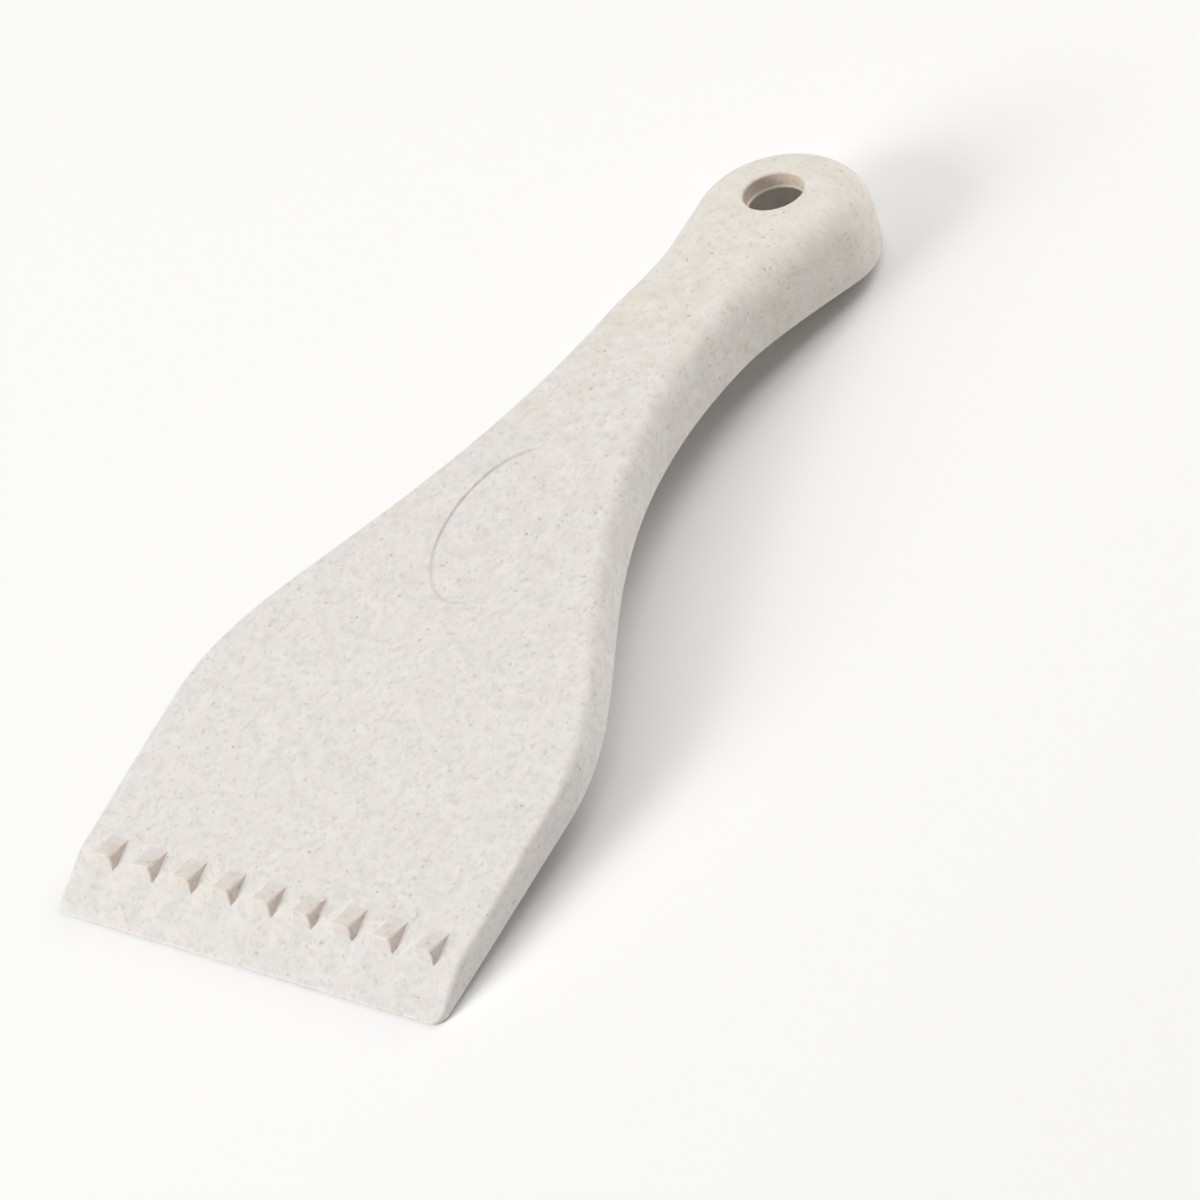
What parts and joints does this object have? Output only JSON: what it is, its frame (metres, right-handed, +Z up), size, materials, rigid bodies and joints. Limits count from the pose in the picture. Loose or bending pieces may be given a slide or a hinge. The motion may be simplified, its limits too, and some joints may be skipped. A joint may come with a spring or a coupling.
{
  "type": "ice scraper",
  "caption": "Hand scraper: wide bevelled blade, a row of blunt teeth behind the edge, a waisted handle that bends down, a hang hole and a ribbed open underside.",
  "frame": {"origin": "centre of the footprint, on the surface the scraper lies on", "axes": "+X across the blade, +Y from the blade's edge towards the end of the handle, +Z up"},
  "size_m": [0.09, 0.2028, 0.0223],
  "materials": {
    "straw_plastic": "matt, pale warm grey-white with fine brown and grey straw specks"
  },
  "bodies": {
    "root": {"scraper_body": "straw_plastic"}
  },
  "joints": []
}
